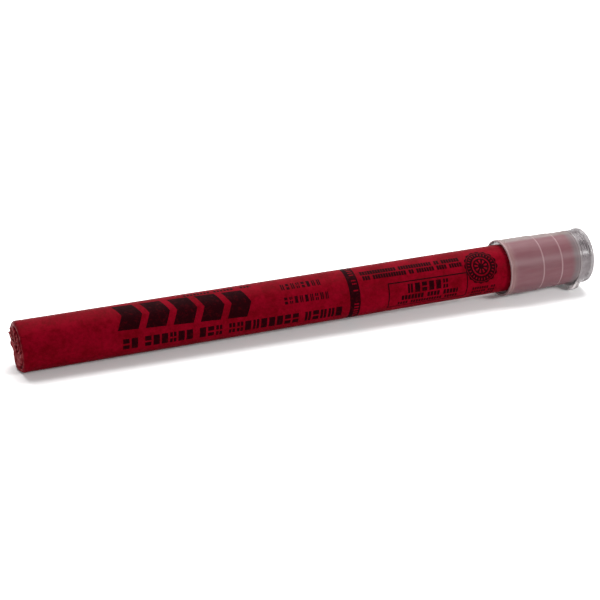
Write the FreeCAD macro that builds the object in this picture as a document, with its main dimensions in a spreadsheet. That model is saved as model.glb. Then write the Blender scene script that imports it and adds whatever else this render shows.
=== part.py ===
import FreeCAD, Part
import math
import os
import re
import Sketcher
from FreeCAD import Vector

# Road flare with a push-on striker cap, in millimetres. It lies along +X, with the
# striking end at +X and +Z up. The origin is on the tube's axis, midway along the bare
# tube between the folded end and the cap's mouth, where a holder grips it.
#
# Nearly every piece is round. It is drawn as a half profile, station along the tube
# against radius, and turned about its own X axis. A piece's stations start at its own
# first face, and its Placement carries it to its place along the tube.

SIZES = {
    # paper tube
    "tube_length": 260.0,
    "tube_radius": 11.0,
    "wrap_wall": 0.25,
    "bore_radius": 9.5,
    # held end, where the wrap's spare paper is folded in over a disc
    "rim_round": 1.4,
    "fold_thickness": 2.0,
    "fold_dish": 0.8,
    "fold_eye": 3.2,
    "disc_thickness": 1.0,
    "plug_length": 18.0,
    # striking end of the tube
    "starter_length": 5.0,
    "collar_thickness": 2.0,
    "collar_recess": 1.5,
    "button_radius": 5.0,
    "button_height": 4.2,
    "button_dome": 1.0,
    # cap, with stations from its mouth
    "cap_overlap": 35.2,
    "cap_wall": 1.0,
    "mouth_radius": 13.1,
    "mouth_lip": 1.6,
    "lip_height": 0.15,
    "stage_drop": 0.2,
    "second_stage": 17.3,
    "third_stage": 27.1,
    "neck_start": 35.4,
    "neck_radius": 12.0,
    "seat_start": 36.8,
    "stop_radius": 10.3,
    "inner_face": 36.6,
    "striker_floor": 37.8,
    "seat_end": 42.9,
    "seat_radius": 11.6,
    "striker_bore": 10.6,
    # grip ribs inside the cap, which touch the tube
    "rib_start": 3.0,
    "rib_count": 8,
    "rib_width": 1.0,
    "rib_outer": 12.2,
    "grip_radius": 11.08,
    # striking surface on the cap's end
    "striker_radius": 10.5,
    "striker_card": 0.8,
    "compound_radius": 9.8,
    "compound_thickness": 1.2,
    # clear lid over the striking surface
    "lid_height": 7.3,
    "lid_radius": 12.75,
    "lid_wall": 1.0,
    "lid_round": 0.8,
    "bead_start": 1.0,
    "bead_length": 0.8,
    "bead_radius": 11.65,
    "tab_thickness": 1.2,
    "tab_root": 12.2,
    "tab_half_width": 8.3,
    "tab_tip_round": 4.2,
    "tab_reach": 15.7,
    "tab_turn": 22.5,
}

# Stations and radii that several pieces share, as formulas of the sizes above.
WRAP_BORE = "tube_radius - wrap_wall"
DISC_START = "fold_thickness + fold_dish"
PLUG_START = DISC_START + " + disc_thickness"
MIX_START = PLUG_START + " + plug_length"
COLLAR_START = "tube_length - collar_recess - collar_thickness"
STARTER_START = COLLAR_START + " - starter_length"
CAP_MOUTH = "tube_length - cap_overlap"
LID_START = CAP_MOUTH + " + seat_start"
GRIP_CENTRE = "(" + CAP_MOUTH + ") / 2"

FIRST_STAGE = "mouth_radius - lip_height"
SECOND_STAGE = FIRST_STAGE + " - stage_drop"
THIRD_STAGE = SECOND_STAGE + " - stage_drop"


def make_sizes(doc):
    """The sheet of driving dimensions, one named cell a row."""
    sheet = doc.addObject("Spreadsheet::Sheet", "Sizes")
    for row, (name, value) in enumerate(SIZES.items(), start=1):
        sheet.set(f"A{row}", name)
        sheet.set(f"B{row}", str(value))
        sheet.setAlias(f"B{row}", name)
    doc.recompute()
    return sheet


def bind(owner, target, formula):
    """Ties one property or constraint to a formula of the sheet's named sizes."""
    owner.setExpression(target, re.sub(r"[a-z][a-z_]+", r"Sizes.\g<0>", formula))


def make_body(doc, label, station):
    """An empty body whose own X = 0 stands at a station counted from the folded end's rim."""
    body = doc.addObject("PartDesign::Body", label)
    body.Label = label
    bind(body, "Placement.Base.x", f"{station} - {GRIP_CENTRE}")
    return body


def make_sketch(body, name, plane):
    """An empty sketch on one of the body's own origin planes."""
    sketch = body.newObject("Sketcher::SketchObject", name)
    planes = {part.Role: part for part in body.Origin.OriginFeatures}
    sketch.AttachmentSupport = [(planes[plane], "")]
    sketch.MapMode = "FlatFace"
    return sketch


def place_point(sketch, line, across, up, names):
    """Ties a line's first point to two formulas; zero puts the point on an axis instead."""
    for kind, axis, formula, name in (
        ("DistanceX", -2, across, names[0]),
        ("DistanceY", -1, up, names[1]),
    ):
        if formula == "0":
            sketch.addConstraint(Sketcher.Constraint("PointOnObject", line, 1, axis))
            continue
        index = sketch.addConstraint(Sketcher.Constraint(kind, -1, 1, line, 1, 1.0))
        sketch.renameConstraint(index, name)
        bind(sketch, f"Constraints.{name}", formula)


def draw_outline(sketch, corners):
    """A closed outline of straight lines whose corners are pairs of formulas."""
    count = len(corners)
    ring = [
        Vector(math.cos(math.tau * i / count), math.sin(math.tau * i / count), 0)
        for i in range(count)
    ]
    lines = [
        sketch.addGeometry(Part.LineSegment(ring[i], ring[(i + 1) % count]), False)
        for i in range(count)
    ]
    for line, after in zip(lines, lines[1:] + lines[:1]):
        sketch.addConstraint(Sketcher.Constraint("Coincident", line, 2, after, 1))
    for line, (across, up) in zip(lines, corners):
        place_point(sketch, line, across, up, (f"station_{line}", f"radius_{line}"))


def turn(doc, label, station, corners):
    """A body turned about its own X axis from a half profile of (station, radius) corners."""
    body = make_body(doc, label, station)
    sketch = make_sketch(body, f"{label}_profile", "XY_Plane")
    draw_outline(sketch, corners)
    turned = body.newObject("PartDesign::Revolution", f"{label}_turned")
    turned.Profile = sketch
    turned.ReferenceAxis = (sketch, ["H_Axis"])
    turned.Angle = 360.0
    doc.recompute()
    return body


def solid_disc(doc, label, station, radius, thickness):
    """A plain turned disc or plug."""
    corners = (("0", "0"), ("0", radius), (thickness, radius), (thickness, "0"))
    return turn(doc, label, station, corners)


def round_rim(doc, body, name, size, at_start):
    """Rounds the widest circular edge on the body's first or last face."""
    turned = body.Tip
    shape = turned.Shape
    station = shape.BoundBox.XMin if at_start else shape.BoundBox.XMax
    rims = [
        (edge.Curve.Radius, f"Edge{number}")
        for number, edge in enumerate(shape.Edges, start=1)
        if isinstance(edge.Curve, Part.Circle)
        and abs(edge.Curve.Center.x - station) < 1e-6
    ]
    fillet = body.newObject("PartDesign::Fillet", name)
    fillet.Base = (turned, [max(rims)[1]])
    bind(fillet, "Radius", size)
    doc.recompute()


def make_outer_wrap(doc):
    """Printed waxed paper round the casing, with its spare length folded in over the held end."""
    fold_inside = "fold_thickness + fold_dish"
    corners = (
        ("fold_dish", "fold_eye"),
        ("0", "bore_radius"),
        ("0", "tube_radius"),
        ("tube_length", "tube_radius"),
        ("tube_length", WRAP_BORE),
        ("fold_thickness", WRAP_BORE),
        ("fold_thickness", "bore_radius"),
        (fold_inside, "fold_eye"),
    )
    wrap = turn(doc, "outer_wrap", "0", corners)
    round_rim(doc, wrap, "outer_wrap_rim", "rim_round", at_start=True)
    return wrap


def make_casing_tube(doc):
    """The stiff tube, rolled from plain kraft paper, that holds the mix."""
    length = "tube_length - fold_thickness"
    corners = (
        ("0", "bore_radius"),
        ("0", WRAP_BORE),
        (length, WRAP_BORE),
        (length, "bore_radius"),
    )
    return turn(doc, "casing_tube", "fold_thickness", corners)


def make_tube_filling(doc):
    """What fills the tube from the held end: disc, plug, burning mix and starter mix."""
    mix_length = f"{STARTER_START} - ({MIX_START})"
    return [
        solid_disc(doc, "base_disc", DISC_START, "bore_radius", "disc_thickness"),
        solid_disc(doc, "base_plug", PLUG_START, "bore_radius", "plug_length"),
        solid_disc(doc, "main_composition", MIX_START, "bore_radius", mix_length),
        solid_disc(doc, "starter_charge", STARTER_START, "bore_radius", "starter_length"),
    ]


def make_igniter(doc):
    """The card collar in the tube's mouth and the domed striking button it holds."""
    corners = (
        ("0", "button_radius"),
        ("0", "bore_radius"),
        ("collar_thickness", "bore_radius"),
        ("collar_thickness", "button_radius"),
    )
    collar = turn(doc, "igniter_collar", COLLAR_START, corners)
    button = solid_disc(
        doc, "igniter_button", COLLAR_START, "button_radius", "button_height"
    )
    round_rim(doc, button, "igniter_button_dome", "button_dome", at_start=False)
    return [collar, button]


def cap_profile():
    """The cap's half profile: three stages, a neck, a stop for the tube and a seat for the lid."""
    outside = [
        ("0", "mouth_radius"),
        ("mouth_lip", "mouth_radius"),
        ("mouth_lip", FIRST_STAGE),
        ("second_stage", FIRST_STAGE),
        ("second_stage", SECOND_STAGE),
        ("third_stage", SECOND_STAGE),
        ("third_stage", THIRD_STAGE),
        ("neck_start", THIRD_STAGE),
        ("neck_start", "neck_radius"),
        ("seat_start", "neck_radius"),
        ("seat_start", "seat_radius"),
        ("seat_end", "seat_radius"),
    ]
    striker_recess = [
        ("seat_end", "striker_bore"),
        ("striker_floor", "striker_bore"),
        ("striker_floor", "0"),
    ]
    tube_socket = [
        ("inner_face", "0"),
        ("inner_face", "stop_radius"),
        ("cap_overlap", "stop_radius"),
        ("cap_overlap", THIRD_STAGE + " - cap_wall"),
        ("third_stage", THIRD_STAGE + " - cap_wall"),
        ("third_stage", SECOND_STAGE + " - cap_wall"),
        ("second_stage", SECOND_STAGE + " - cap_wall"),
        ("second_stage", FIRST_STAGE + " - cap_wall"),
        ("0", FIRST_STAGE + " - cap_wall"),
    ]
    return outside + striker_recess + tube_socket


def add_grip_ribs(doc, cap):
    """Ribs along the cap's socket, evenly spaced round it, whose crests grip the tube."""
    sketch = make_sketch(cap, "grip_rib_section", "YZ_Plane")
    draw_outline(
        sketch,
        (
            ("grip_radius", "-rib_width / 2"),
            ("rib_outer", "-rib_width / 2"),
            ("rib_outer", "rib_width / 2"),
            ("grip_radius", "rib_width / 2"),
        ),
    )
    bind(sketch, "AttachmentOffset.Base.z", "rib_start")
    rib = cap.newObject("PartDesign::Pad", "grip_rib")
    rib.Profile = sketch
    bind(rib, "Length", "cap_overlap - rib_start")
    doc.recompute()
    ribs = cap.newObject("PartDesign::PolarPattern", "grip_ribs")
    ribs.Originals = [rib]
    ribs.Axis = (sketch, ["N_Axis"])
    ribs.Angle = 360.0
    bind(ribs, "Occurrences", "rib_count")
    cap.Tip = ribs
    doc.recompute()


def make_cap_sleeve(doc):
    """The moulded cap that covers the igniter and carries the striker on its end."""
    cap = turn(doc, "cap_sleeve", CAP_MOUTH, cap_profile())
    add_grip_ribs(doc, cap)
    return cap


def make_striker(doc):
    """The card in the cap's recess and the gritty striking compound on it."""
    card_start = f"{CAP_MOUTH} + striker_floor"
    return [
        solid_disc(doc, "striker_card", card_start, "striker_radius", "striker_card"),
        solid_disc(
            doc,
            "striker_compound",
            card_start + " + striker_card",
            "compound_radius",
            "compound_thickness",
        ),
    ]


def draw_tab(sketch):
    """The tab's outline, hanging from the lid's skirt: two straight sides and a round tip."""
    root, half = SIZES["tab_root"], SIZES["tab_half_width"]
    tip, reach = SIZES["tab_tip_round"], SIZES["tab_reach"]
    shoulder = -math.sqrt(root**2 - half**2)
    tip_centre = Vector(0, tip - reach, 0)
    lean = math.radians(45)
    up = Vector(0, 0, 1)
    left, right = Vector(-half, shoulder, 0), Vector(half, shoulder, 0)
    touch = Vector(tip * math.sin(lean), -tip * math.cos(lean), 0)
    touch_left = tip_centre + Vector(-touch.x, touch.y, 0)
    touch_right = tip_centre + touch
    start = math.atan2(left.y, left.x)
    end = math.atan2(right.y, right.x)

    left_side = sketch.addGeometry(Part.LineSegment(left, touch_left), False)
    tip_circle = Part.Circle(tip_centre, up, tip)
    tip_arc = sketch.addGeometry(
        Part.ArcOfCircle(tip_circle, math.pi + lean, math.tau - lean), False
    )
    right_side = sketch.addGeometry(Part.LineSegment(touch_right, right), False)
    root_circle = Part.Circle(Vector(0, 0, 0), up, root)
    root_arc = sketch.addGeometry(Part.ArcOfCircle(root_circle, start, end), False)
    rules = (
        ("Tangent", left_side, 2, tip_arc, 1),
        ("Tangent", tip_arc, 2, right_side, 1),
        ("Coincident", right_side, 2, root_arc, 2),
        ("Coincident", root_arc, 1, left_side, 1),
        ("Coincident", root_arc, 3, -1, 1),
        ("PointOnObject", tip_arc, 3, -2),
    )
    for rule in rules:
        sketch.addConstraint(Sketcher.Constraint(*rule))
    present = {
        "root": root,
        "tip": tip,
        "left": half,
        "right": half,
        "reach": reach - tip,
    }
    sizes = (
        ("root", ("Radius", root_arc), "tab_root"),
        ("tip", ("Radius", tip_arc), "tab_tip_round"),
        ("left", ("DistanceX", left_side, 1, -1, 1), "tab_half_width"),
        ("right", ("DistanceX", -1, 1, right_side, 2), "tab_half_width"),
        ("reach", ("DistanceY", tip_arc, 3, -1, 1), "tab_reach - tab_tip_round"),
    )
    for name, rule, formula in sizes:
        index = sketch.addConstraint(Sketcher.Constraint(*rule, present[name]))
        sketch.renameConstraint(index, name)
        bind(sketch, f"Constraints.{name}", formula)


def make_striker_lid(doc):
    """The clear snap-on lid, with a bead inside its skirt and a pull tab on the skirt's edge."""
    inside = "lid_radius - lid_wall"
    bead_end = "bead_start + bead_length"
    end_wall = "lid_height - lid_wall"
    corners = (
        ("0", inside),
        ("0", "lid_radius"),
        ("lid_height", "lid_radius"),
        ("lid_height", "0"),
        (end_wall, "0"),
        (end_wall, inside),
        (bead_end, inside),
        (bead_end, "bead_radius"),
        ("bead_start", "bead_radius"),
        ("bead_start", inside),
    )
    lid = turn(doc, "striker_lid", LID_START, corners)
    round_rim(doc, lid, "striker_lid_rim", "lid_round", at_start=False)
    sketch = make_sketch(lid, "pull_tab_outline", "YZ_Plane")
    draw_tab(sketch)
    tab = lid.newObject("PartDesign::Pad", "pull_tab")
    tab.Profile = sketch
    bind(tab, "Length", "tab_thickness")
    # the tab hangs down and, by half a rib's pitch, towards -Y
    swing = FreeCAD.Rotation(Vector(-1, 0, 0), SIZES["tab_turn"])
    lid.Placement = FreeCAD.Placement(lid.Placement.Base, swing)
    bind(lid, "Placement.Rotation.Angle", "tab_turn")
    doc.recompute()
    return lid


def check(doc, bodies):
    """Stops with a plain message if any object failed or any piece isn't one valid solid."""
    failed = [o.Name for o in doc.Objects if {"Invalid", "Error"} & set(o.State)]
    if failed:
        raise RuntimeError(f"objects failed to compute: {failed}")
    for body in bodies:
        shape = body.Shape
        if shape.isNull() or not shape.isValid() or len(shape.Solids) != 1:
            raise RuntimeError(f"{body.Label} is not one valid solid")


def main():
    doc = FreeCAD.newDocument("road_flare")
    make_sizes(doc)
    bodies = [
        make_outer_wrap(doc),
        make_casing_tube(doc),
        *make_tube_filling(doc),
        *make_igniter(doc),
        make_cap_sleeve(doc),
        *make_striker(doc),
        make_striker_lid(doc),
    ]
    doc.recompute()
    check(doc, bodies)
    os.makedirs("parts", exist_ok=True)
    for body in bodies:
        body.Shape.exportStep(os.path.join("parts", f"{body.Label}.step"))
        box = body.Shape.optimalBoundingBox()
        print(
            f"{body.Label}: {body.Shape.Volume:.1f} mm3, X {box.XMin:.2f} to {box.XMax:.2f}, "
            f"{box.YLength:.2f} wide, {box.ZLength:.2f} high"
        )


main()
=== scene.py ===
import math

import bpy
import numpy as np
from mathutils import Matrix, Vector, noise


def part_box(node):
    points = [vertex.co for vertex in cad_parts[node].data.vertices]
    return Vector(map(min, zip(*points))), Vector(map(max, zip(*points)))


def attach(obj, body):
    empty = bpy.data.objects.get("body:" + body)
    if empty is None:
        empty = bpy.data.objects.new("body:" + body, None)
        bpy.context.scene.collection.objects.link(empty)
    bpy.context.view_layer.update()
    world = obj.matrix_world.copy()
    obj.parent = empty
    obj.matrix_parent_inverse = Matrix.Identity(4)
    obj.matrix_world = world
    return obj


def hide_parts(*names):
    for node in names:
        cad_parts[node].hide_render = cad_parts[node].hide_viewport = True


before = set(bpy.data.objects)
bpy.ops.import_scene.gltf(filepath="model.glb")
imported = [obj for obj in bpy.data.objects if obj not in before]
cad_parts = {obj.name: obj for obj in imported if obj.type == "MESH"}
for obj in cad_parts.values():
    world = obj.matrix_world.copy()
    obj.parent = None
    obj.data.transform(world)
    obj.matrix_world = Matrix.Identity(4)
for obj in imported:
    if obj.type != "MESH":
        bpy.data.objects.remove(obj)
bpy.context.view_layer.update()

# Road flare. Lengths are in millimetres until a mesh is made, which is in metres. A place on
# the flare is a station, counted along +X from the folded end's face, a radius from the axis,
# and an angle about the axis: 0 towards -Y, the side that the camera sees, and 90 upwards.

MM = 0.001

WRAP_LOW, WRAP_HIGH = (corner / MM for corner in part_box("outer_wrap"))
CAP_LOW, CAP_HIGH = (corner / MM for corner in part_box("cap_sleeve"))
LID_LOW, LID_HIGH = (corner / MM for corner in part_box("striker_lid"))
CASING_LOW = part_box("casing_tube")[0] / MM
DISC_LOW, DISC_HIGH = (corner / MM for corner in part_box("base_disc"))

RIM_X = WRAP_LOW.x
TUBE_LENGTH = WRAP_HIGH.x - RIM_X
TUBE_RADIUS = WRAP_HIGH.y
BORE_RADIUS = DISC_HIGH.y
WRAP_WALL = 0.25
MOUTH = CAP_LOW.x - RIM_X
MOUTH_RADIUS = CAP_HIGH.y
TURN = 2 * math.pi
AROUND = 360
ANGLES = np.arange(AROUND) * TURN / AROUND - math.pi


# ---------------------------------------------------------------- meshes


def on_flare(station, radius, angle):
    """A point in metres from its station, radius and angle."""
    return (
        (RIM_X + station) * MM,
        -radius * math.cos(angle) * MM,
        radius * math.sin(angle) * MM,
    )


def smoothstep(low, high, value):
    """0 below low, 1 above high and an even curve between them, either way round."""
    share = np.clip((value - low) / (high - low), 0.0, 1.0)
    return share * share * (3 - 2 * share)


def make_object(name, points, faces, body, node, crease=35.0):
    """A smooth-shaded mesh that rides on a body and stands for a CAD node."""
    mesh = bpy.data.meshes.new(name)
    mesh.from_pydata(points, [], faces)
    mesh.validate()
    mesh.update()
    mesh.shade_smooth()
    mesh.set_sharp_from_angle(angle=math.radians(crease))
    piece = bpy.data.objects.new(name, mesh)
    bpy.context.scene.collection.objects.link(piece)
    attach(piece, body)
    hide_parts(node)
    return piece


def skin_rings(rings):
    """Points and faces over rings of (stations, radii), each one value or one for each angle.

    A ring of radius 0 is a single point. A third item is left alone, and a fourth turns the ring."""
    points, rows, faces = [], [], []
    for stations, radii, *more in rings:
        turn = more[1] if len(more) > 1 else 0.0
        stations = np.broadcast_to(stations, ANGLES.shape)
        radii = np.broadcast_to(radii, ANGLES.shape)
        if radii.max() <= 0:
            rows.append([len(points)])
            points.append(on_flare(float(stations.mean()), 0.0, 0.0))
            continue
        rows.append(list(range(len(points), len(points) + AROUND)))
        points += [on_flare(*values) for values in zip(stations, radii, ANGLES + turn)]
    for one, other in zip(rows, rows[1:]):
        for i in range(AROUND):
            after = (i + 1) % AROUND
            corners = [one[i % len(one)], one[after % len(one)]]
            corners += [other[after % len(other)], other[i % len(other)]]
            if len(one) == 1:
                corners = corners[1:]
            if len(other) == 1:
                corners = corners[:3]
            faces.append(corners)
    return points, faces


def rounded(corners, steps=5):
    """An outline of (station, radius, rounding, outside) corners, with each rounding as an arc."""
    outline = []
    count = len(corners)
    for i, (station, radius, size, outside) in enumerate(corners):
        here = Vector((station, radius))
        if size <= 0:
            outline.append((*here, outside))
            continue
        before = Vector(corners[i - 1][:2]) - here
        after = Vector(corners[(i + 1) % count][:2]) - here
        half = before.angle(after) / 2
        reach = size / math.tan(half)
        start = here + before.normalized() * reach
        end = here + after.normalized() * reach
        middle = (before.normalized() + after.normalized()).normalized()
        centre = here + middle * (size / math.sin(half))
        for step in range(steps + 1):
            share = step / steps
            spoke = (start - centre).lerp(end - centre, share).normalized()
            outline.append((*(centre + spoke * size), outside))
    return outline


def close_rings(points, faces):
    """Joins the last ring of points to the first one."""
    last = len(points) - AROUND
    for i in range(AROUND):
        after = (i + 1) % AROUND
        faces.append([last + i, last + after, after, i])


def store(piece, name, values):
    """Keeps one number for each point of a mesh, for its material to read."""
    attribute = piece.data.attributes.new(name, "FLOAT", "POINT")
    attribute.data.foreach_set("value", np.asarray(values, dtype=np.float32))


def ring_values(rings):
    """The last item of each (station, radius, value) ring, once for each of its points."""
    values = []
    for _, radius, value in rings:
        values += [value] * (AROUND if np.max(radius) > 0 else 1)
    return values


# ---------------------------------------------------------------- the paper wrap

SEAM_ANGLE = math.pi
LAP_HEIGHT = 0.17
PLEAT_HEIGHT = 0.16
CRUSH_HEIGHT = 0.09
SKIN_INSET = 0.04
RIM_STEPS = 7
FACE_RINGS = 60
FLAPS = 10
FLAP_HEIGHT = 0.75
FLAP_SWIRL = 1.2
CROWN_HEIGHT = 0.35
CRUMPLE_HEIGHT = 0.16
GROOVE_DEPTH = 1.0
EYE_DEPTH = 1.9
FACE_END = 0.97


def ripple(station, angle, pitch, seed):
    """Smooth noise over the tube's skin, from -1 to 1, with features of about one pitch."""
    reach = TUBE_RADIUS / pitch
    place = (station / pitch, reach * math.cos(angle), reach * math.sin(angle) + seed)
    return noise.noise(Vector(place))


def ripples(station, pitch, seed):
    """That noise at every angle of one station."""
    return np.array([ripple(station, angle, pitch, seed) for angle in ANGLES])


def flap_starts():
    """The angle where each folded flap of paper begins, unevenly spaced round the end."""
    rng = np.random.default_rng(7)
    widths = rng.uniform(0.6, 1.4, FLAPS)
    return np.cumsum(widths) / widths.sum() * TURN - math.pi - 0.3


def flap_share(angles):
    """How far across its flap each angle lies, from 0 at the free edge to 1 at the next edge."""
    starts = flap_starts()
    edges = np.concatenate(([starts[-1] - TURN], starts, [starts[0] + TURN]))
    wrapped = (angles - edges[0]) % TURN + edges[0]
    index = np.searchsorted(edges, wrapped, side="right") - 1
    return (wrapped - edges[index]) / (edges[index + 1] - edges[index])


def creases(station, pitch, seed):
    """Noise with sharp ridges, as creased paper has: 1 on a ridge and below 0 between them."""
    return 1 - 2.6 * np.abs(ripples(station, pitch, seed))


def hump(centre, width):
    """1 at one angle in degrees, falling away on both sides over a width in radians."""
    away = (ANGLES - math.radians(centre) + math.pi) % TURN - math.pi
    return np.exp(-((away / width) ** 2))


def corner_sizes():
    """The rim's rounding at each angle, which is widest above and below."""
    return 0.9 + 0.6 * np.sin(ANGLES - 0.45) ** 4 + 0.12 * ripples(0.0, 5.0, 3.0)


def rim_stand():
    """How far the rim stands out at each angle: most above and behind, with a dip and a bulge."""
    lean = 0.35 + 0.45 * np.cos(ANGLES - math.radians(150.0))
    dip = 0.4 * hump(227.0, 0.3)
    bulge = 0.8 * hump(264.0, 0.24)
    return lean - dip + bulge + 0.12 * ripples(60.0, 2.4, 41.0)


def side_radii(station):
    """The wrap's radius at each angle of one station, with its lap, wrinkles and soft dents."""
    bare = 1.0 - 0.75 * smoothstep(MOUTH - 3, MOUTH, station)
    dents = 0.05 * ripples(station, 26.0, 11.0) + 0.028 * ripples(station, 7.0, 5.0)
    behind_seam = (SEAM_ANGLE - ANGLES) % TURN
    lap = LAP_HEIGHT * np.exp(-behind_seam / 0.35)
    pleats = PLEAT_HEIGHT * (0.5 - flap_share(ANGLES + 0.02 * station))
    pleats = pleats * math.exp(-station / 3.5)
    crush = CRUSH_HEIGHT * creases(station, 5.0, 23.0) * math.exp(-station / 7.0)
    return TUBE_RADIUS - SKIN_INSET + bare * (dents + lap) + pleats + crush


def face_ring(share):
    """One ring of the folded face, from share 0 at the rim to 1 at the middle.

    The flaps lap over each other like blades round an eye painted dark, and the rings turn with them,
    so that each flap's edge keeps to one column of points. The flaps stand proud of the rim above and
    behind, and a groove parts them from it on the near side. The painted light and shade is above 0
    for a painted highlight, strongest on each flap's free edge and on crease ridges, and below 0 for
    painted shade in the groove, towards the eye and under the next flap's raised edge."""
    turn = -FLAP_SWIRL * share
    angles = ANGLES + turn
    across = flap_share(ANGLES)
    near = smoothstep(-0.2, 0.7, np.cos(angles - 0.1))
    start = 0.02 + 0.12 * near + 0.04 * ripples(80.0, 4.0, 17.0)
    mound = smoothstep(start, start + 0.14, share) * (1 - smoothstep(0.66, 0.98, share))
    blades = FLAP_HEIGHT * ((1 - across) ** 1.6 - 0.3) * mound
    crown = CROWN_HEIGHT * (1 + np.sin(angles - 0.3)) * mound
    stand = rim_stand() * (1 - smoothstep(0.0, 0.7, share))
    groove = near * smoothstep(0.0, 0.08, share) * (1 - smoothstep(start, 0.28, share))
    eye = EYE_DEPTH * smoothstep(0.62, 0.98, share)
    place = 40.0 + 9 * share
    crumple = CRUMPLE_HEIGHT * (ripples(place, 1.5, 31.0) - creases(place, 2.6, 37.0))
    crumple *= smoothstep(0.0, 0.15, share) * (1 - smoothstep(0.8, 1.0, share))
    station = GROOVE_DEPTH * groove + eye - blades - crown - stand + crumple

    # painted highlight along each flap's free edge and on crease ridges
    edge = (1 - smoothstep(0.0, 0.10, across)) * mound
    ridge = smoothstep(0.05, -0.25, crumple) * mound
    # painted shade in the groove, towards the eye and where a flap runs under the next one
    dark = groove * (1 - mound) + smoothstep(0.6, 0.85, share)
    dark += 0.8 * smoothstep(0.8, 1.0, across) * mound
    painted_light_and_shade = 0.2 + 0.8 * np.maximum(edge, ridge) - 1.3 * dark
    rim = TUBE_RADIUS - corner_sizes()
    return station, rim * (1 - share), painted_light_and_shade, turn


def distances_along():
    """How far from the folded end the side's rings lie, closest together near both ends."""
    ends = TUBE_LENGTH - np.array([0.0, 0.15, 0.5])
    middle = np.linspace(TUBE_LENGTH - 1.5, 30.0, 190)
    folded = 30.0 * np.linspace(1.0, 0.0, 60)[1:] ** 1.3
    return np.concatenate((ends, middle, folded))


def wrap_rings():
    """Rings over the wrap's outer side, from the striking end, round the rim and over the face."""
    corner = corner_sizes()
    stand = rim_stand()
    start = corner - stand
    rings = []
    for distance in distances_along():
        station = start + distance * (TUBE_LENGTH - start) / TUBE_LENGTH
        rings.append((station, side_radii(distance), np.zeros(AROUND)))
    rim_radii = side_radii(0.0)
    # the rim's rounding is painted paler towards the face: a patchy painted highlight
    rim_highlight_patches = 0.5 + 0.9 * ripples(60.0, 1.6, 51.0)
    for step in range(1, RIM_STEPS + 1):
        turned = step / RIM_STEPS * math.pi / 2
        station = corner * (1 - math.sin(turned)) - stand
        radius = rim_radii - corner * (1 - math.cos(turned))
        rings.append((station, radius, (step / RIM_STEPS) ** 3 * rim_highlight_patches))
    for share in np.linspace(0.0, FACE_END, FACE_RINGS)[1:]:
        rings.append(face_ring(share))
    # the eye's point is painted fully dark: painted shade
    rings.append((EYE_DEPTH, 0.0, -1.0))
    return rings


def inside_rings():
    """The wrap's unseen inner side, from the middle of the held end out to the striking end."""
    under_disc = DISC_LOW.x - RIM_X - 0.05
    under_casing = CASING_LOW.x - RIM_X - 0.02
    inner = TUBE_RADIUS - WRAP_WALL
    return [
        (under_disc, 0.0),
        (under_disc, 3.0),
        (under_casing, BORE_RADIUS),
        (under_casing, inner),
        (TUBE_LENGTH / 2, inner),
        (TUBE_LENGTH, inner),
    ]


def make_outer_wrap():
    """The wrap: its printed side, its folded end and its unseen inner side, as one closed shell."""
    rings = wrap_rings()
    points, faces = skin_rings(rings)
    inner_points, inner_faces = skin_rings(inside_rings())
    shift = len(points)
    faces += [[i + shift for i in face] for face in inner_faces]
    points += inner_points
    close_rings(points, faces)
    slot, node = "red_waxed_paper", "outer_wrap"
    wrap = make_object("outer_wrap_paper", points, faces, "tube", node, crease=50.0)
    # painted highlights and painted shade for the folded end and the rim, none on the side or the
    # inside
    painted_light_and_shade = [np.atleast_1d(ring[2]) for ring in rings]
    painted_light_and_shade.append(np.zeros(len(inner_points)))
    store(wrap, "painted_light_and_shade", np.concatenate(painted_light_and_shade))
    return wrap


# ---------------------------------------------------------------- the cap

RIBS = 8
RIB_HALF_ANGLE = math.radians(2.6)
GRIP_RADIUS = 11.08
SHOULDER = 36.75
NECK_END = 42.9
RECESS_FLOOR = 37.8
NECK_RADIUS = 11.6
RECESS_RADIUS = 10.65
SEAT_START = 35.25
SEAT_RADIUS = 10.3
END_WALL_INSIDE = 36.6
BORES = (11.95, 11.75, 11.5)


def cap_outline():
    """The cap's half profile: corners of station from the mouth, radius, rounding and outside.

    Outside is 1 on the outer side, which carries the plastic's milkiness, and 0 on the inner."""
    bead = MOUTH_RADIUS + 0.05
    first = MOUTH_RADIUS - 0.15
    second = first - 0.25
    third = first - 0.48
    outer_side = [
        (0.0, bead, 0.35, 1),
        (1.5, bead, 0.3, 1),
        (2.3, first, 0.4, 1),
        (17.0, first, 0.12, 1),
        (17.45, second, 0.12, 1),
        (26.8, second, 0.12, 1),
        (27.25, third, 0.12, 1),
        (SHOULDER, third - 0.02, 0.12, 1),
        (SHOULDER, NECK_RADIUS, 0.1, 1),
        (NECK_END, NECK_RADIUS, 0.25, 1),
        (NECK_END, RECESS_RADIUS, 0.25, 1),
    ]
    inner_side = [
        (RECESS_FLOOR, RECESS_RADIUS, 0.1, 0),
        (RECESS_FLOOR, 0.0, 0.0, 0),
        (END_WALL_INSIDE, 0.0, 0.0, 0),
        (END_WALL_INSIDE, SEAT_RADIUS, 0.1, 0),
        (SEAT_START, SEAT_RADIUS, 0.1, 0),
        (SEAT_START, BORES[2] - 0.05, 0.1, 0),
        (27.3, BORES[2], 0.1, 0),
        (27.0, BORES[1], 0.1, 0),
        (17.4, BORES[1], 0.1, 0),
        (17.1, BORES[0], 0.1, 0),
        (1.2, BORES[0], 0.4, 0),
        (0.0, 12.25, 0.3, 1),
    ]
    return outer_side + inner_side


def rib_mask():
    """1 at each angle where a grip rib runs along the inside of the cap, 0 between ribs."""
    pitch = TURN / RIBS
    offset = (ANGLES + pitch / 2) % pitch - pitch / 2
    return (np.abs(offset) < RIB_HALF_ANGLE).astype(float)


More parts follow.
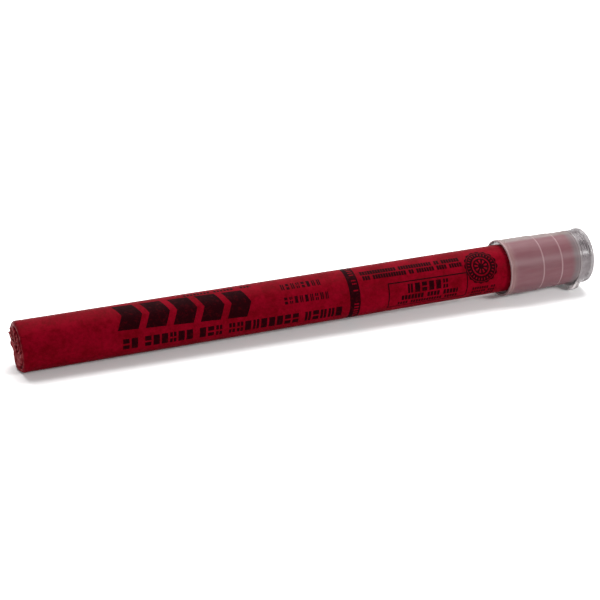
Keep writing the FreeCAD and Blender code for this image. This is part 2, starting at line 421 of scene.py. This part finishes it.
def make_cap_sleeve():
    """The cap: a stepped sleeve with grip ribs inside, and a neck with the striker's recess."""
    ribs = rib_mask()
    rings = []
    for station, radius, outside in rounded(cap_outline()):
        on_bore = 3.0 < station < SEAT_START - 0.05 and 11.3 < radius < BORES[0] + 0.1
        if on_bore:
            radius = radius - ribs * (radius - GRIP_RADIUS)
        rings.append((MOUTH + station, radius, outside))
    points, faces = skin_rings(rings)
    close_rings(points, faces)
    slot, node = "milky_plastic", "cap_sleeve"
    cap = make_object("cap_sleeve_shell", points, faces, "cap", node)
    store(cap, "outside", ring_values(rings))
    return cap


# ---------------------------------------------------------------- the lid and its tab

LID_START = LID_LOW.x - RIM_X
LID_RADIUS = LID_HIGH.y
LID_BEAD_RADIUS = 11.68
TAB_TURN = math.radians(22.5)
TAB_TIP = 6.0
TAB_CENTRE = (-LID_LOW.z - TAB_TIP) / math.cos(TAB_TURN)


def tab_radii(skirt):
    """The lid's outline at each angle: its skirt, with the tab's rounded lobe hanging from it."""
    tangent = math.acos((skirt - TAB_TIP) / TAB_CENTRE)
    tip_end = math.atan2(TAB_TIP * math.sin(tangent), TAB_CENTRE + TAB_TIP * math.cos(tangent))
    radii = np.full(AROUND, skirt)
    from_tab = ANGLES + math.pi / 2 - TAB_TURN
    for i, angle in enumerate(np.abs((from_tab + math.pi) % TURN - math.pi)):
        if angle < tip_end:
            across = TAB_CENTRE * math.sin(angle)
            radii[i] = TAB_CENTRE * math.cos(angle) + math.sqrt(TAB_TIP**2 - across**2)
        elif angle < tangent:
            radii[i] = skirt / math.cos(tangent - angle)
    return radii


def lid_skirt(skirt, rim):
    """Rings from inside the open end, out over the flared tab and along the skirt.

    Lean moves the tab along the lid and reach takes it out from the rim, each as a share of the
    tab at that angle, which is 0 away from the tab."""
    proud = tab_radii(rim) - rim
    spread = proud / proud.max()
    return [
        (station + lean * spread, radius + reach * proud, 1)
        for station, lean, radius, reach in (
            (0.15, -0.2, skirt - 0.15, 0.2),
            (0.00, -0.8, skirt, 0.6),
            (0.00, -1.3, rim, 0.88),
            (0.15, -1.0, rim, 0.98),
            (0.30, -0.3, rim, 1.0),
            (0.50, 1.0, rim, 1.0),
            (0.80, 1.6, rim, 0.93),
            (1.00, 1.9, rim, 0.80),
            (1.25, 2.1, skirt, 0.62),
            (1.65, 2.2, skirt, 0.42),
            (2.20, 2.1, skirt, 0.25),
            (2.90, 1.7, skirt, 0.12),
            (3.60, 1.2, skirt, 0.04),
            (5.10, 0.0, skirt, 0.0),
        )
    ]


def lid_lip(skirt, lip):
    """Rings over the thick lip and the end face, in to the middle."""
    return [
        (5.30, skirt + 0.08, 1),
        (5.45, lip - 0.12, 1),
        (5.70, lip, 1),
        (6.60, lip, 1),
        (6.95, lip - 0.10, 1),
        (7.20, lip - 0.38, 1),
        (7.30, lip - 0.75, 1),
        (7.30, lip - 1.5, 1),
        (7.10, lip - 1.9, 1),
        (7.10, 4.0, 1),
        (7.10, 0.0, 1),
    ]


def lid_inside(inside):
    """Rings from the middle of the end's inner face, over the snap bead to the open end."""
    return [
        (6.30, 0.0, 0),
        (6.30, inside - 0.4, 0),
        (6.15, inside - 0.1, 0),
        (5.80, inside, 0),
        (1.80, inside, 0),
        (1.65, LID_BEAD_RADIUS, 0),
        (1.15, LID_BEAD_RADIUS, 0),
        (1.00, inside, 0),
    ]


def make_striker_lid():
    """The lid: a skirt with a thick lip at its closed end and a flared tab at its open end."""
    lip = LID_RADIUS + 0.15
    skirt = LID_RADIUS - 0.25
    inside = LID_RADIUS - 1.0
    rings = [(0.35, inside + 0.1, 1)]
    rings += lid_skirt(skirt, skirt + 0.05) + lid_lip(skirt, lip) + lid_inside(inside)
    rings = [(LID_START + station, radius, outside) for station, radius, outside in rings]
    points, faces = skin_rings(rings)
    close_rings(points, faces)
    slot, node = "clear_plastic", "striker_lid"
    lid = make_object("striker_lid_clear", points, faces, "lid", node)
    store(lid, "outside", ring_values(rings))
    return lid


# ---------------------------------------------------------------- materials


class Shader:
    """A material with short calls for the nodes used here. Inputs are sockets or plain values."""

    def __init__(self, name):
        self.material = bpy.data.materials.new(name)
        self.material.use_nodes = True
        self.tree = self.material.node_tree
        self.tree.nodes.clear()
        output = self.node("ShaderNodeOutputMaterial")
        self.bsdf = self.node("ShaderNodeBsdfPrincipled")
        self.tree.links.new(self.bsdf.outputs[0], output.inputs["Surface"])
        place = self.node("ShaderNodeTexCoord").outputs["Object"]
        scale = self.node("ShaderNodeVectorMath", operation="SCALE")
        scale.inputs["Scale"].default_value = 1 / MM
        self.tree.links.new(place, scale.inputs[0])
        self.place = scale.outputs[0]
        split = self.node("ShaderNodeSeparateXYZ")
        self.tree.links.new(self.place, split.inputs[0])
        self.x, self.y, self.z = split.outputs

    def node(self, kind, **settings):
        made = self.tree.nodes.new(kind)
        for name, value in settings.items():
            setattr(made, name, value)
        return made

    def feed(self, socket, value):
        """Links a socket to an input, or sets the input to a value."""
        if isinstance(value, bpy.types.NodeSocket):
            self.tree.links.new(value, socket)
        elif isinstance(value, tuple) and len(value) == 3 and socket.type == "RGBA":
            socket.default_value = (*value, 1.0)
        else:
            socket.default_value = value

    def math(self, operation, *values, clamp=False):
        made = self.node("ShaderNodeMath", operation=operation, use_clamp=clamp)
        for socket, value in zip(made.inputs, values):
            self.feed(socket, value)
        return made.outputs[0]

    def add(self, a, b):
        return self.math("ADD", a, b)

    def less(self, a, b):
        return self.math("SUBTRACT", a, b)

    def times(self, a, b):
        return self.math("MULTIPLY", a, b)

    def root_of_squares(self, a, b):
        """The length of the hypotenuse: the distance from the axis, given y and z."""
        return self.math("SQRT", self.add(self.times(a, a), self.times(b, b)))

    def random(self, seed):
        """A random number from 0 to 1 for each value of the seed."""
        made = self.node("ShaderNodeTexWhiteNoise", noise_dimensions="1D")
        self.feed(made.inputs["W"], seed)
        return made.outputs["Value"]

    def point_value(self, name):
        """What store() kept for the points of the mesh."""
        return self.node("ShaderNodeAttribute", attribute_name=name).outputs["Fac"]

    def grazing(self):
        """0 where the surface faces the view, up to 1 at its edges: plastic is hazier there."""
        made = self.node("ShaderNodeLayerWeight")
        made.inputs["Blend"].default_value = 0.3
        return made.outputs["Facing"]

    def stretch(self, value, low, high, to_low=0.0, to_high=1.0):
        """A value from low to high brought to another range, and held at that range's ends."""
        made = self.node("ShaderNodeMapRange", interpolation_type="SMOOTHSTEP")
        for socket, item in zip(made.inputs, (value, low, high, to_low, to_high)):
            self.feed(socket, item)
        return made.outputs[0]

    def blotches(self, pitch, detail=3.0, rough=0.55, stretch=(1, 1, 1)):
        """Noise from 0 to 1 whose features are about one pitch across, in mm."""
        made = self.node("ShaderNodeTexNoise")
        mapping = self.node("ShaderNodeMapping")
        self.feed(mapping.inputs["Vector"], self.place)
        mapping.inputs["Scale"].default_value = tuple(s / pitch for s in stretch)
        self.feed(made.inputs["Vector"], mapping.outputs[0])
        made.inputs["Scale"].default_value = 1.0
        made.inputs["Detail"].default_value = detail
        made.inputs["Roughness"].default_value = rough
        return made.outputs["Fac"]

    def mix(self, share, one, other):
        made = self.node("ShaderNodeMix", data_type="RGBA")
        self.feed(made.inputs["Factor"], share)
        self.feed(made.inputs["A"], one)
        self.feed(made.inputs["B"], other)
        return made.outputs["Result"]

    def bump(self, height, strength, distance, under=None):
        """A bump whose height of 1 stands distance mm proud."""
        made = self.node("ShaderNodeBump")
        made.inputs["Strength"].default_value = strength
        made.inputs["Distance"].default_value = distance * MM
        self.feed(made.inputs["Height"], height)
        if under is not None:
            self.feed(made.inputs["Normal"], under)
        return made.outputs[0]

    def set(self, **inputs):
        """Feeds the shader's inputs, named with _ for each space."""
        for name, value in inputs.items():
            self.feed(self.bsdf.inputs[name.replace("_", " ")], value)


# Where things are printed on the wrap: distances along the tube from PRINT_START, and heights
# round it from the line that faces the camera, in mm. Everything is bars, chevrons and rings.
PRINT_CENTRE = math.radians(26.0)
PRINT_SLOPE = -0.0154
PRINT_PIVOT = 130.0
PRINT_START = 1.5
INK_BLEED = 0.28


class WrapPrint:
    """Ink masks on the wrap, in station and height, built from plain marks with no letters."""

    def __init__(self, shader):
        self.g = g = shader
        angle = g.math("ARCTAN2", g.z, g.times(g.y, -1.0))
        station = g.less(g.x, RIM_X + PRINT_START)
        height = g.times(g.less(angle, PRINT_CENTRE), TUBE_RADIUS)
        skew = g.times(g.less(station, PRINT_PIVOT), -PRINT_SLOPE)
        bleed = g.times(g.less(g.blotches(0.5, 2.0), 0.5), INK_BLEED)
        self.s = g.add(station, bleed)
        self.h = g.add(g.add(height, skew), bleed)
        self.ink = 0.0

    def within(self, value, low, high):
        return self.g.math("COMPARE", value, (low + high) / 2, (high - low) / 2)

    def box(self, left, right, low, high):
        return self.g.times(self.within(self.s, left, right), self.within(self.h, low, high))

    def add(self, mask):
        self.ink = self.g.math("MAXIMUM", self.ink, mask)

    def often(self, tossed, times, limit):
        """A fresh yes or no from a random number."""
        g = self.g
        return g.math("GREATER_THAN", g.math("FRACT", g.times(tossed, times)), limit)

    def bars(self, left, right, low, high, pitch, fill, seed, gaps=0.15, parted=False):
        """A row of blocks, some left out at random, as words are spaced.

        In a parted row, some blocks are split across the middle and some down it."""
        g = self.g
        cell = g.math("DIVIDE", g.less(self.s, left), pitch)
        part = g.math("FRACT", cell)
        tossed = g.random(g.add(g.math("FLOOR", cell), seed + 0.5))
        kept = g.math("GREATER_THAN", tossed, gaps)
        block = g.times(self.within(part, 0.5 - fill / 2, 0.5 + fill / 2), kept)
        if parted:
            middle, half = (low + high) / 2, 0.08 * (high - low)
            across = self.within(self.h, middle - half, middle + half)
            across = g.times(across, self.often(tossed, 7.0, 0.6))
            down = g.times(self.within(part, 0.44, 0.56), self.often(tossed, 13.0, 0.5))
            block = g.math("SUBTRACT", block, g.math("MAXIMUM", across, down), clamp=True)
        self.add(g.times(block, self.box(left, right, low, high)))

    def groups(self, left, low, high, pitch, counts, fill, seed):
        """A line of large blocks in groups, each group of its own count."""
        for count in counts:
            right = left + count * pitch
            self.bars(left, right, low, high, pitch, fill, seed, gaps=0.0, parted=True)
            left = right + 0.6 * pitch
            seed += 50

    def rows(self, left, right, low, tall, step, count, pitch, fill, seed, gaps=0.15):
        """Rows of small print, one a step above or below another."""
        for row in range(count):
            base = low + step * row
            self.bars(left, right, base, base + tall, pitch, fill, seed + row, gaps)

    def chevrons(self, left, pitch, count, low, high, weight, lean, climb):
        """Heavy arrow marks in a row that sinks slightly, pointing at the striking end."""
        g = self.g
        end = left + pitch * count
        height = g.less(self.h, g.times(g.less(end, self.s), climb))
        off_middle = g.math("ABSOLUTE", g.less(height, (low + high) / 2))
        along = g.add(self.s, g.times(off_middle, lean))
        part = g.math("FRACT", g.math("DIVIDE", g.less(along, left), pitch))
        bar = g.math("LESS_THAN", part, weight)
        tall = self.within(height, low, high)
        self.add(g.times(g.times(bar, tall), self.within(along, left, end)))

    def frame(self, left, right, low, high, line):
        """The outline of a box."""
        whole = self.box(left, right, low, high)
        hollow = self.box(left + line, right - line, low + line, high - line)
        self.add(self.g.less(whole, hollow))

    def seal(self, station, height, radius):
        """A scalloped disc with a clear line, a ring of clear ticks, a clear ring and a burst."""
        g = self.g
        across = g.less(self.s, station)
        up = g.less(self.h, height)
        away = g.root_of_squares(across, up)
        turn = g.math("ARCTAN2", up, across)

        def wave(count):
            return g.math("SINE", g.times(turn, count))

        def ring(inner, outer):
            return self.within(away, inner * radius, outer * radius)

        scallops = g.times(wave(16.0), 0.035 * radius)
        disc = g.math("LESS_THAN", g.add(away, scallops), 0.97 * radius)
        ticks = g.times(g.math("GREATER_THAN", wave(26.0), 0.5), ring(0.66, 0.79))
        burst = g.times(g.math("GREATER_THAN", wave(9.0), 0.1), ring(0.17, 0.38))
        clear = g.math("MAXIMUM", ticks, burst)
        for inner, outer in ((0.86, 0.89), (0.47, 0.55)):
            clear = g.math("MAXIMUM", clear, ring(inner, outer))
        self.add(g.math("SUBTRACT", disc, clear, clamp=True))

    def band(self, left, right, pitch):
        """A solid band round the tube with a ring of small clear bars in it."""
        g = self.g
        cell = g.math("DIVIDE", self.h, pitch)
        kept = g.math("GREATER_THAN", g.random(g.math("FLOOR", cell)), 0.22)
        bar = self.within(g.math("FRACT", cell), 0.2, 0.62)
        clear = g.times(bar, self.within(self.s, left + 2.0, right - 0.8))
        self.add(g.less(self.within(self.s, left, right), g.times(clear, kept)))


def print_front(marks):
    """The side that the camera sees: arrow marks, a line of large print, short rows and a band."""
    marks.chevrons(41.8, 12.0, 5, -3.9, 9.1, weight=0.74, lean=0.45, climb=0.035)
    marks.bars(69.0, 101.0, 10.6, 12.3, pitch=1.5, fill=0.7, seed=3)
    marks.groups(40.2, -10.8, -5.6, pitch=3.66, counts=(2, 6, 3, 9, 5), fill=0.76, seed=12)
    marks.bars(113.0, 132.0, 5.6, 8.9, pitch=2.4, fill=0.6, seed=21, gaps=0.1, parted=True)
    marks.bars(113.0, 134.0, -1.0, 2.1, pitch=2.4, fill=0.6, seed=30, gaps=0.12, parted=True)
    marks.band(143.9, 148.9, pitch=1.55)


def print_panel(marks):
    """Past the band: two lines of small print over a framed panel, and a seal."""
    marks.bars(151.0, 200.5, 7.4, 9.6, pitch=1.25, fill=0.85, seed=40, gaps=0.1)
    marks.bars(151.5, 200.5, 4.6, 6.8, pitch=1.25, fill=0.85, seed=51, gaps=0.1)
    marks.frame(162.5, 202.0, -10.9, 1.7, line=0.55)
    marks.bars(171.5, 192.5, -4.1, 0.2, pitch=3.5, fill=0.7, seed=60, gaps=0.0, parted=True)
    marks.bars(167.2, 197.0, -7.3, -4.9, pitch=1.6, fill=0.78, seed=71, gaps=0.1)
    marks.bars(167.2, 197.0, -9.8, -8.1, pitch=1.3, fill=0.72, seed=80, gaps=0.1)
    marks.seal(209.4, 3.4, radius=8.3)
    marks.rows(204.5, 216.5, -7.7, 1.4, -2.1, 3, pitch=1.2, fill=0.72, seed=90, gaps=0.1)


def print_back(marks):
    """The side that the photo does not show: rows of small print and a second frame."""
    marks.rows(42.0, 138.0, -20.2, 1.5, -2.9, 6, pitch=1.5, fill=0.75, seed=100)
    marks.rows(156.0, 214.0, -22.0, 1.8, -3.6, 4, pitch=1.7, fill=0.75, seed=120)
    marks.frame(152.5, 217.5, -36.5, -17.5, line=0.5)
    marks.rows(42.0, 138.0, 16.5, 1.5, 2.9, 4, pitch=1.5, fill=0.75, seed=140)


def print_ink(shader):
    """How much ink lies at each place on the wrap, 0 or 1."""
    marks = WrapPrint(shader)
    print_front(marks)
    print_panel(marks)
    print_back(marks)
    return marks.ink


def red_paper():
    """Crimson waxed paper, mottled and slightly wrinkled, with near-black ink marks, and painted
    highlights and painted shade on its folded end.
    """
    dark_red, bright_red = (0.085, 0.0002, 0.0025), (0.150, 0.0006, 0.0070)
    ink_black, pale_highlight = (0.0075, 0.0004, 0.0012), (0.36, 0.085, 0.088)
    shaded = (0.012, 0.001, 0.0016)
    g = Shader("red_waxed_paper")
    broad = g.blotches(9.0, 4.0, 0.6)
    mottle = g.blotches(1.6, 4.0, 0.65)
    fibres = g.blotches(0.5, 3.0, 0.6, stretch=(0.35, 1.0, 1.0))
    tone = g.add(g.times(broad, 0.45), g.add(g.times(mottle, 0.4), g.times(fibres, 0.15)))
    red = g.mix(g.stretch(tone, 0.36, 0.64), dark_red, bright_red)

    patchy = g.add(g.times(mottle, 0.6), g.times(fibres, 0.4))
    ink = g.times(print_ink(g), g.stretch(patchy, 0.32, 0.50, 0.70, 0.98))
    color = g.mix(ink, red, ink_black)
    painted_light_and_shade = g.point_value("painted_light_and_shade")
    # painted highlight on the folded end's flap edges, crease ridges and rim, patchy with the mottle
    highlight_share = g.times(g.math("MAXIMUM", painted_light_and_shade, 0.0), g.stretch(mottle, 0.25, 0.7, 0.5, 1.0))
    color = g.mix(highlight_share, color, pale_highlight)
    # painted shade, near black, in the folded end's groove, under its lapped flaps and in its eye
    recess = g.math("MINIMUM", g.math("MAXIMUM", g.times(painted_light_and_shade, -1.0), 0.0), 0.85)
    color = g.mix(recess, color, shaded)

    wrinkle = g.blotches(4.5, 5.0, 0.62, stretch=(1.0, 0.7, 0.7))
    normal = g.bump(wrinkle, 0.55, 0.35)
    normal = g.bump(mottle, 0.35, 0.08, under=normal)
    normal = g.bump(fibres, 0.25, 0.03, under=normal)
    g.set(
        Base_Color=color,
        Roughness=g.stretch(g.add(mottle, g.times(fibres, 0.4)), 0.4, 1.0, 0.36, 0.58),
        Specular_IOR_Level=0.005,
        # sheen only on the upper side, rising from 3 to 10 mm above the axis: a painted sheen where
        # the overhead light falls
        Sheen_Weight=g.stretch(g.z, 3.0, 10.0, 0.0, 0.12),
        Sheen_Roughness=0.35,
        Normal=normal,
    )
    return g.material


def fibre_board(name, dark, light, pitch=0.6, rings=0.0):
    """Plain paper or board, with flecks of fibre and, on a rolled edge, the rolled layers."""
    g = Shader(name)
    flecks = g.blotches(pitch, 4.0, 0.65)
    broad = g.blotches(pitch * 8, 2.0, 0.5)
    tone = g.add(g.times(flecks, 0.7), g.times(broad, 0.3))
    height = flecks
    if rings:
        layers = g.math("SINE", g.times(g.root_of_squares(g.y, g.z), TURN / rings))
        tone = g.add(g.times(tone, 0.75), g.times(g.stretch(layers, -1.0, 1.0), 0.25))
        height = tone
    g.set(
        Base_Color=g.mix(g.stretch(tone, 0.3, 0.7), dark, light),
        Roughness=g.stretch(flecks, 0.2, 0.8, 0.72, 0.92),
        Specular_IOR_Level=0.25,
        Normal=g.bump(height, 0.6, 0.08),
    )
    return g.material


def pressed_powder(name, dark, light, grain=0.35, rough=0.8):
    """A pressed mix: fine grains with scattered darker specks."""
    g = Shader(name)
    grains = g.blotches(grain, 4.0, 0.7)
    cells = g.node("ShaderNodeTexVoronoi", feature="F1")
    g.feed(cells.inputs["Vector"], g.place)
    cells.inputs["Scale"].default_value = 1.0 / grain
    specks = g.stretch(cells.outputs["Distance"], 0.1, 0.6)
    tone = g.add(g.times(grains, 0.6), g.times(specks, 0.4))
    g.set(
        Base_Color=g.mix(g.stretch(tone, 0.3, 0.75), dark, light),
        Roughness=g.stretch(grains, 0.2, 0.8, rough - 0.12, rough + 0.08),
        Specular_IOR_Level=0.3,
        Normal=g.bump(tone, 0.8, 0.12),
    )
    return g.material


# Where the cap's rim, its two steps and its shoulder lie from the mouth, and how far a paler line
# reaches from each.
CAP_EDGES = ((0.2, 0.6), (17.2, 0.6), (27.0, 0.6), (36.2, 0.5))
GAP_ANGLE = math.radians(105.0)


def milky_plastic():
    """Natural soft plastic over red paper: a hazy warm grey, paler at its rim and steps."""
    over_neck, over_tube = (0.132, 0.104, 0.109), (0.150, 0.062, 0.073)
    over_gap, at_mouth = (0.212, 0.174, 0.164), (0.20, 0.13, 0.115)
    neck_edge, tube_edge = (0.175, 0.145, 0.145), (0.30, 0.20, 0.205)
    flow_streak = (0.18, 0.098, 0.106)
    g = Shader("milky_plastic")
    cloud = g.blotches(6.0, 3.0, 0.5)
    flow = g.blotches(1.6, 3.0, 0.5, stretch=(0.15, 1.0, 1.0))
    station = g.less(g.x, RIM_X + MOUTH)
    edges = 0.0
    for centre, half in CAP_EDGES:
        off_edge = g.math("ABSOLUTE", g.less(station, centre))
        edges = g.math("MAXIMUM", edges, g.stretch(off_edge, half, half * 0.4))
    mouth = g.stretch(station, 4.5, 1.2)

    sleeve = g.stretch(station, 32.0, 35.2, 1.0, 0.0)
    color = g.mix(sleeve, over_neck, over_tube)
    color = g.mix(g.times(mouth, 0.45), color, at_mouth)
    # less red shows through along the top, where the gap between cap and tube is taken as widest
    across, up = g.times(g.y, -math.cos(GAP_ANGLE)), g.times(g.z, math.sin(GAP_ANGLE))
    towards_gap = g.math("DIVIDE", g.add(across, up), g.root_of_squares(g.y, g.z))
    color = g.mix(g.times(g.stretch(towards_gap, 0.89, 0.995), 0.9), color, over_gap)
    color = g.mix(g.times(edges, 0.6), color, g.mix(sleeve, neck_edge, tube_edge))
    color = g.mix(g.times(g.stretch(flow, 0.35, 0.7), 0.3), color, flow_streak)

    haze = g.add(0.77, g.times(g.grazing(), 0.06))
    haze = g.add(haze, g.times(edges, 0.08))
    haze = g.add(haze, g.times(g.less(cloud, 0.5), 0.06))
    haze = g.add(haze, g.times(mouth, 0.10))
    g.set(
        Base_Color=color,
        Roughness=g.stretch(flow, 0.2, 0.8, 0.36, 0.46),
        Specular_IOR_Level=0.18,
        Alpha=g.times(g.point_value("outside"), g.math("MINIMUM", haze, 0.94)),
        Normal=g.bump(g.add(g.times(flow, 0.6), cloud), 0.25, 0.15),
    )
    return g.material


def clear_plastic():
    """Clear glossy plastic, greyed by its own depth, with a faint haze and moulding swirls, painted
    dark reflections on the upper skirt, and painted light on its front edge and on the shaded side of
    its tab.
    """
    dark_grey, light_grey = (0.152, 0.130, 0.137), (0.212, 0.187, 0.195)
    dark_brown, light_brown = (0.180, 0.125, 0.114), (0.215, 0.155, 0.142)
    dark_reflection, front_painted_light = (0.03, 0.025, 0.028), (0.27, 0.235, 0.238)
    tab, tab_painted_light = (0.32, 0.285, 0.285), (0.80, 0.74, 0.74)
    g = Shader("clear_plastic")
    swirl = g.blotches(3.0, 3.0, 0.5, stretch=(0.4, 1.0, 1.0))
    fine = g.blotches(0.7, 2.0, 0.5)
    tone = g.stretch(swirl, 0.3, 0.7)
    away = g.root_of_squares(g.y, g.z)

    # painted dark reflections: fine dark lines round the skirt, only on its upper side
    fine_lines = g.stretch(g.blotches(2.0, 3.0, 0.6, stretch=(5.0, 0.5, 0.5)), 0.46, 0.62)
    on_skirt = g.stretch(g.x, LID_HIGH.x - 1.4, LID_HIGH.x - 2.2)
    dark_reflections = g.times(g.times(fine_lines, g.stretch(g.z, 1.0, 8.0)), on_skirt)
    # painted light on the skirt's front edge, where the groove next to the cap lies in shade
    front = g.stretch(g.x, LID_LOW.x + 1.4, LID_LOW.x + 0.5)
    lobe = g.stretch(away, LID_RADIUS + 0.4, LID_RADIUS + 1.4)
    # painted light on the tab's face towards the folded end, which lies in shade
    tab_shaded_side = g.stretch(g.x, LID_LOW.x + 0.8, LID_LOW.x - 0.6)
    skirt = g.mix(g.times(dark_reflections, 0.85), g.mix(tone, dark_grey, light_grey), dark_reflection)
    skirt = g.mix(g.times(front, 0.7), skirt, front_painted_light)
    skirt = g.mix(lobe, skirt, g.mix(tab_shaded_side, tab, tab_painted_light))

    on_end = g.stretch(g.x, LID_HIGH.x - 0.6, LID_HIGH.x - 0.3)
    over_striker = g.times(on_end, g.stretch(away, 10.4, 9.4))
    haze = g.add(0.70, g.times(g.grazing(), 0.12))
    haze = g.add(haze, g.times(lobe, 0.14))
    g.set(
        Base_Color=g.mix(over_striker, skirt, g.mix(tone, dark_brown, light_brown)),
        Roughness=g.stretch(fine, 0.2, 0.8, 0.22, 0.30),
        Alpha=g.times(g.point_value("outside"), g.math("MINIMUM", haze, 0.92)),
        Specular_IOR_Level=0.20,
        Coat_Weight=0.16,
        Coat_IOR=1.3,
        Coat_Roughness=0.12,
        Normal=g.bump(swirl, 0.25, 0.2),
    )
    return g.material


def paint(node, material):
    """Gives a CAD node that stays in view its procedural material."""
    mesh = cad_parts[node].data
    mesh.materials.clear()
    mesh.materials.append(material)


def paint_inner_pieces():
    kraft = fibre_board("kraft_paper", (0.20, 0.11, 0.055), (0.42, 0.27, 0.15), 0.5, rings=0.22)
    board = fibre_board("chipboard", (0.20, 0.15, 0.11), (0.40, 0.33, 0.26), 0.45)
    sawdust = fibre_board("sawdust_plug", (0.16, 0.09, 0.04), (0.40, 0.26, 0.13), 1.1)
    burning = pressed_powder("burning_mix", (0.20, 0.13, 0.12), (0.46, 0.36, 0.33))
    starter = pressed_powder("starter_mix", (0.10, 0.07, 0.06), (0.28, 0.21, 0.18))
    button = pressed_powder("igniter_mix", (0.012, 0.010, 0.010), (0.06, 0.048, 0.045), 0.3, 0.6)
    grit = pressed_powder("striker_grit", (0.030, 0.012, 0.010), (0.13, 0.05, 0.04), 0.45, 0.85)
    paint("casing_tube", kraft)
    paint("base_disc", board)
    paint("igniter_collar", board)
    paint("striker_card", board)
    paint("base_plug", sawdust)
    paint("main_composition", burning)
    paint("starter_charge", starter)
    paint("igniter_button", button)
    paint("striker_compound", grit)


# ---------------------------------------------------------------- stage, light and camera

FLOOR_HALF = 6.0
SKY_STRENGTH = 0.26
CAMERA_AZIMUTH = -21.7
CAMERA_ELEVATION = 24.3
CAMERA_DISTANCE = 0.663
AIM_STATION = 125.9
AIM_RISE = 0.27
CAMERA_LENS = 90.0


def pale_floor_material():
    """Matt white with a faint mottle, lifted slightly so that it stays white in the render."""
    g = Shader("pale_floor")
    grain = g.blotches(40.0, 3.0, 0.5)
    g.set(
        Base_Color=g.mix(grain, (0.90, 0.90, 0.90), (0.93, 0.93, 0.93)),
        Roughness=0.9,
        Specular_IOR_Level=0.1,
        Emission_Color=(1.0, 1.0, 1.0),
        Emission_Strength=0.05,
    )
    return g.material


def make_floor():
    """A wide pale floor that touches the flare where it lies: under the rim and under the tab."""
    rear = Vector((RIM_X + 2.0, 0.0, -TUBE_RADIUS)) * MM
    front = Vector((LID_LOW.x + 0.6, 0.0, LID_LOW.z)) * MM
    slope = (front.z - rear.z) / (front.x - rear.x)
    corners = [(-1, -1), (1, -1), (1, 1), (-1, 1)]
    sides = [(FLOOR_HALF * x, FLOOR_HALF * y) for x, y in corners]
    points = [(x, y, rear.z + slope * (x - rear.x)) for x, y in sides]
    mesh = bpy.data.meshes.new("floor")
    mesh.from_pydata(points, [], [(0, 1, 2, 3)])
    mesh.materials.append(pale_floor_material())
    floor = bpy.data.objects.new("floor", mesh)
    bpy.context.scene.collection.objects.link(floor)


def make_light(name, place, aim, size, power):
    """A rectangular soft light, sizes in metres and power in watts."""
    light = bpy.data.lights.new(name, "AREA")
    light.shape = "RECTANGLE"
    light.size, light.size_y = size
    light.energy = power
    lamp = bpy.data.objects.new(name, light)
    bpy.context.scene.collection.objects.link(lamp)
    lamp.location = place
    lamp.rotation_euler = (Vector(aim) - Vector(place)).to_track_quat("-Z", "Y").to_euler()


def make_world():
    world = bpy.data.worlds.new("studio")
    bpy.context.scene.world = world
    world.use_nodes = True
    sky = world.node_tree.nodes["Background"]
    sky.inputs["Color"].default_value = (1.0, 1.0, 1.0, 1.0)
    sky.inputs["Strength"].default_value = SKY_STRENGTH


def make_camera():
    """A camera at the photo's angle, aimed AIM_RISE mm over a place on the flare's axis."""
    turn, rise = math.radians(CAMERA_AZIMUTH), math.radians(CAMERA_ELEVATION)
    back = Vector((math.sin(turn) * math.cos(rise), -math.cos(turn) * math.cos(rise), math.sin(rise)))
    right = Vector((0, 0, 1)).cross(back).normalized()
    up = back.cross(right)
    aim = Vector(((RIM_X + AIM_STATION) * MM, 0.0, 0.0)) + up * AIM_RISE * MM
    data = bpy.data.cameras.new("camera")
    data.lens = CAMERA_LENS
    data.sensor_width = 36.0
    camera = bpy.data.objects.new("camera", data)
    bpy.context.scene.collection.objects.link(camera)
    facing = Matrix((right, up, back)).transposed().to_4x4()
    camera.matrix_world = Matrix.Translation(aim + back * CAMERA_DISTANCE) @ facing
    bpy.context.scene.camera = camera


def light_studio():
    make_world()
    make_light("overhead", (0.10, 0.28, 0.62), (0.03, 0.0, 0.0), (1.0, 0.6), 12.0)
    make_light("front", (0.47, -0.58, 0.36), (0.12, 0.0, 0.0), (0.24, 0.16), 4.5)


def main():
    wrap = make_outer_wrap()
    wrap.data.materials.append(red_paper())
    cap = make_cap_sleeve()
    cap.data.materials.append(milky_plastic())
    lid = make_striker_lid()
    lid.data.materials.append(clear_plastic())
    paint_inner_pieces()
    make_floor()
    light_studio()
    make_camera()
    bpy.context.scene.view_settings.view_transform = "Standard"


main()
